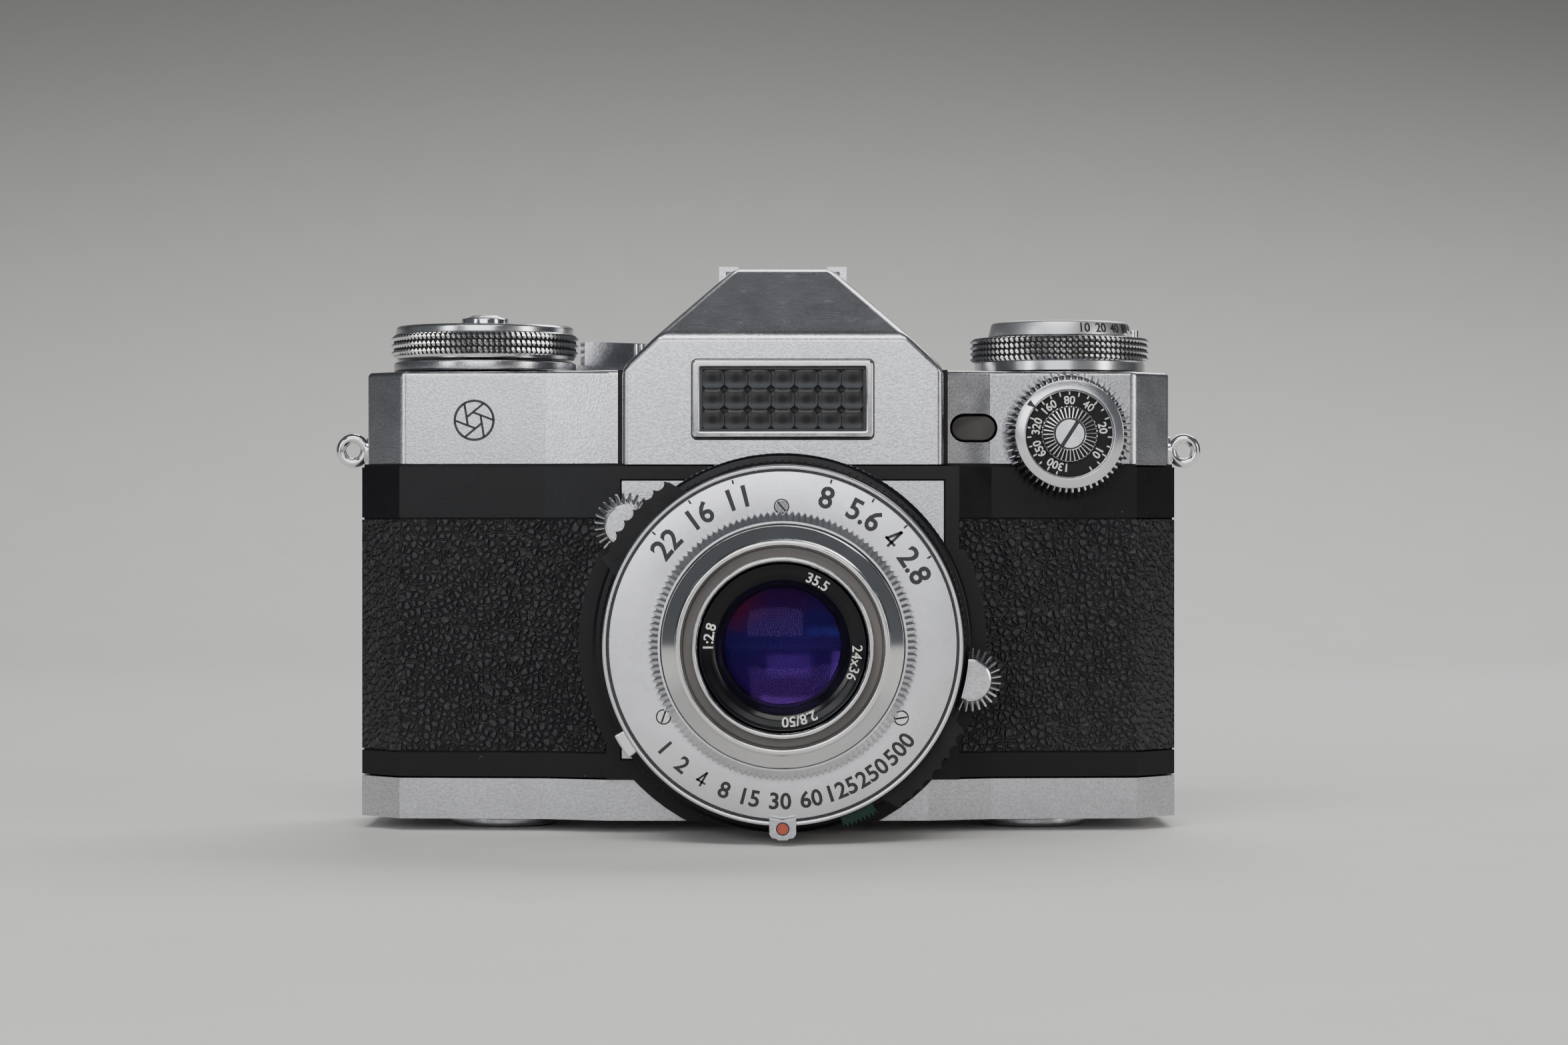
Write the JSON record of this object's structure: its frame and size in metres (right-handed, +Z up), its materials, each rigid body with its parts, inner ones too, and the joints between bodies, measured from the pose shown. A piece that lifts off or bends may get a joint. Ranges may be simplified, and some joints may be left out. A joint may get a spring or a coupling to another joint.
{
  "type": "single-lens reflex camera",
  "caption": "Leaf-shutter 35 mm reflex camera with a prism housing, honeycomb light-meter window, front-cell focusing lens and a removable back.",
  "frame": {"origin": "middle of the overall width and depth, on the surface that the camera stands on", "axes": "+X to the right of a person facing the lens, +Y from the lens towards the back, +Z up"},
  "size_m": [0.1464, 0.078, 0.0929],
  "materials": {
    "satin_chrome": "satin chrome plating with a fine even grain",
    "polished_chrome": "bright chrome",
    "black_enamel": "semi-gloss black enamel",
    "die_cast": "black-painted light alloy casting",
    "leatherette": "black pebbled leatherette",
    "optical_glass": "polished and coated glass",
    "black_plastic": "matt black moulding",
    "spring_steel": "blackened spring steel",
    "silvered_glass": "front-silvered mirror",
    "green_enamel": "dark green enamel"
  },
  "bodies": {
    "camera_body": {"body_casting": "die_cast", "leather_left": "leatherette", "leather_right": "leatherette", "upper_band": "black_enamel", "lower_band": "black_enamel", "top_cover": "satin_chrome", "prism_housing": "satin_chrome", "accessory_shoe": "satin_chrome", "eyepiece_frame": "black_enamel", "eyepiece_lens": "optical_glass", "pentaprism": "optical_glass", "focusing_screen": "optical_glass", "mirror_box": "die_cast", "selenium_cell": "black_plastic", "cell_window": "optical_glass", "cell_window_frame": "polished_chrome", "meter_movement": "black_enamel", "readout_window": "optical_glass", "strap_lug_left": "polished_chrome", "strap_lug_right": "polished_chrome", "front_plate": "black_enamel", "front_escutcheon": "satin_chrome", "shutter_housing": "black_enamel", "shutter_blades": "spring_steel", "iris_diaphragm": "spring_steel", "rear_lens_group": "optical_glass", "shutter_face_plate": "satin_chrome"},
    "mirror": {"reflex_mirror": "silvered_glass"},
    "flap": {"capping_flap": "black_enamel"},
    "needle": {"meter_needle": "black_enamel"},
    "speed": {"speed_ring": "black_enamel", "speed_grip_upper": "satin_chrome", "speed_grip_lower": "satin_chrome"},
    "aperture": {"aperture_ring": "black_enamel"},
    "focus": {"focus_ring": "black_enamel"},
    "sync": {"sync_lever": "green_enamel"},
    "catch": {"bayonet_catch": "satin_chrome"},
    "focus_cell": {"focus_helicoid": "die_cast"},
    "front_component": {"front_barrel": "polished_chrome", "name_ring": "black_enamel", "front_element": "optical_glass", "second_element": "optical_glass"},
    "advance": {"advance_lever": "satin_chrome", "advance_dial": "satin_chrome"},
    "counter": {"counter_disc": "black_enamel"},
    "release": {"release_button": "polished_chrome"},
    "spool": {"take_up_spool": "black_plastic"},
    "sprocket": {"film_sprocket": "die_cast"},
    "rewind": {"rewind_knob": "satin_chrome", "rewind_fork": "die_cast"},
    "reminder": {"reminder_dial": "satin_chrome"},
    "crank": {"rewind_crank": "satin_chrome"},
    "wheel": {"meter_wheel": "satin_chrome"},
    "film_speed": {"film_speed_disc": "black_enamel"},
    "back": {"back_cover": "satin_chrome", "back_leather": "leatherette", "tripod_bush": "satin_chrome"},
    "pressure": {"pressure_plate": "black_enamel"},
    "key_left": {"lock_key_left": "satin_chrome"},
    "key_right": {"lock_key_right": "satin_chrome"}
  },
  "joints": [
    {"name": "mirror_swing", "type": "hinge", "parent": "camera_body", "child": "mirror", "pos_m": [0.0024, 0.0235, 0.0457], "axis": [-1, 0, 0], "range_deg": [0, 45], "stiffness_Nm_per_rad": 0.0004},
    {"name": "flap_swing", "type": "hinge", "parent": "camera_body", "child": "flap", "pos_m": [0.0024, 0.025, 0.0436], "axis": [-1, 0, 0], "range_deg": [0, 90]},
    {"name": "needle_swing", "type": "hinge", "parent": "camera_body", "child": "needle", "pos_m": [0.036, 0.0265, 0.0684], "axis": [0, 0, 1], "range_deg": [0, 40], "stiffness_Nm_per_rad": 0.00001},
    {"name": "speed_turn", "type": "hinge", "parent": "camera_body", "child": "speed", "pos_m": [0.0024, 0, 0.0312], "axis": [0, -1, 0], "range_deg": [-50, 50]},
    {"name": "aperture_turn", "type": "hinge", "parent": "camera_body", "child": "aperture", "pos_m": [0.0024, 0, 0.0312], "axis": [0, -1, 0], "range_deg": [-30, 30]},
    {"name": "focus_turn", "type": "hinge", "parent": "camera_body", "child": "focus", "pos_m": [0.0024, 0, 0.0312], "axis": [0, -1, 0], "range_deg": [0, 180]},
    {"name": "sync_move", "type": "hinge", "parent": "camera_body", "child": "sync", "pos_m": [0.0024, 0, 0.0312], "axis": [0, -1, 0], "range_deg": [0, 18]},
    {"name": "catch_press", "type": "hinge", "parent": "camera_body", "child": "catch", "pos_m": [0.0024, -0.028, 0.003], "axis": [0, -1, 0], "range_deg": [0, 8], "stiffness_Nm_per_rad": 0.02},
    {"name": "focus_travel", "type": "slide", "parent": "camera_body", "child": "focus_cell", "axis": [0, -1, 0], "range_m": [0, 0.0028]},
    {"name": "bayonet_turn", "type": "hinge", "parent": "focus_cell", "child": "front_component", "pos_m": [0.0024, 0, 0.0312], "axis": [0, -1, 0], "range_deg": [0, 45]},
    {"name": "advance_swing", "type": "hinge", "parent": "camera_body", "child": "advance", "pos_m": [-0.0475, 0.018, 0.078], "axis": [0, 0, 1], "range_deg": [0, 185], "stiffness_Nm_per_rad": 0.002},
    {"name": "counter_turn", "type": "hinge", "parent": "advance", "child": "counter", "pos_m": [-0.0475, 0.018, 0.082], "axis": [0, 0, 1], "range_deg": [-190, 10]},
    {"name": "release_press", "type": "slide", "parent": "camera_body", "child": "release", "axis": [0, 0, -1], "range_m": [0, 0.0025], "stiffness_N_per_m": 400, "springref_m": -0.0005},
    {"name": "spool_turn", "type": "hinge", "parent": "camera_body", "child": "spool", "pos_m": [-0.0475, 0.018, 0.034], "axis": [0, 0, 1], "range_deg": [0, 360]},
    {"name": "sprocket_turn", "type": "hinge", "parent": "camera_body", "child": "sprocket", "pos_m": [-0.0266, 0.021, 0.031], "axis": [0, 0, 1], "range_deg": [0, 361]},
    {"name": "rewind_turn", "type": "hinge", "parent": "camera_body", "child": "rewind", "pos_m": [0.0488, 0.018, 0.078], "axis": [0, 0, 1], "continuous": true},
    {"name": "reminder_turn", "type": "hinge", "parent": "rewind", "child": "reminder", "pos_m": [0.0488, 0.018, 0.082], "axis": [0, 0, 1], "continuous": true},
    {"name": "crank_fold", "type": "hinge", "parent": "rewind", "child": "crank", "pos_m": [0.0554, 0.018, 0.0843], "axis": [0, 1, 0], "range_deg": [0, 175]},
    {"name": "wheel_turn", "type": "hinge", "parent": "camera_body", "child": "wheel", "pos_m": [0.0487, 0, 0.0646], "axis": [0, -1, 0], "range_deg": [-100, 100]},
    {"name": "film_speed_turn", "type": "hinge", "parent": "wheel", "child": "film_speed", "pos_m": [0.0487, 0, 0.0646], "axis": [0, -1, 0], "range_deg": [-120, 120]},
    {"name": "back_slide", "type": "slide", "parent": "camera_body", "child": "back", "axis": [0, 0, -1], "range_m": [0, 0.07]},
    {"name": "pressure_travel", "type": "slide", "parent": "back", "child": "pressure", "axis": [0, 1, 0], "range_m": [0, 0.003], "stiffness_N_per_m": 400, "springref_m": -0.0005},
    {"name": "key_left_turn", "type": "hinge", "parent": "back", "child": "key_left", "pos_m": [-0.044, 0.017, 0.001], "axis": [0, 0, -1], "range_deg": [0, 180]},
    {"name": "key_right_turn", "type": "hinge", "parent": "back", "child": "key_right", "pos_m": [0.044, 0.017, 0.001], "axis": [0, 0, 1], "range_deg": [0, 180]}
  ],
  "couplings": [
    {"joint": "flap_swing", "follows": "mirror_swing", "ratio": 2},
    {"joint": "focus_travel", "follows": "focus_turn", "m_per_rad": 0.00089127},
    {"joint": "aperture_turn", "follows": "wheel_turn", "ratio": 0.3},
    {"joint": "sprocket_turn", "follows": "advance_swing", "ratio": 1.946},
    {"joint": "spool_turn", "follows": "advance_swing", "ratio": 1.9},
    {"joint": "counter_turn", "follows": "advance_swing", "ratio": -1}
  ]
}
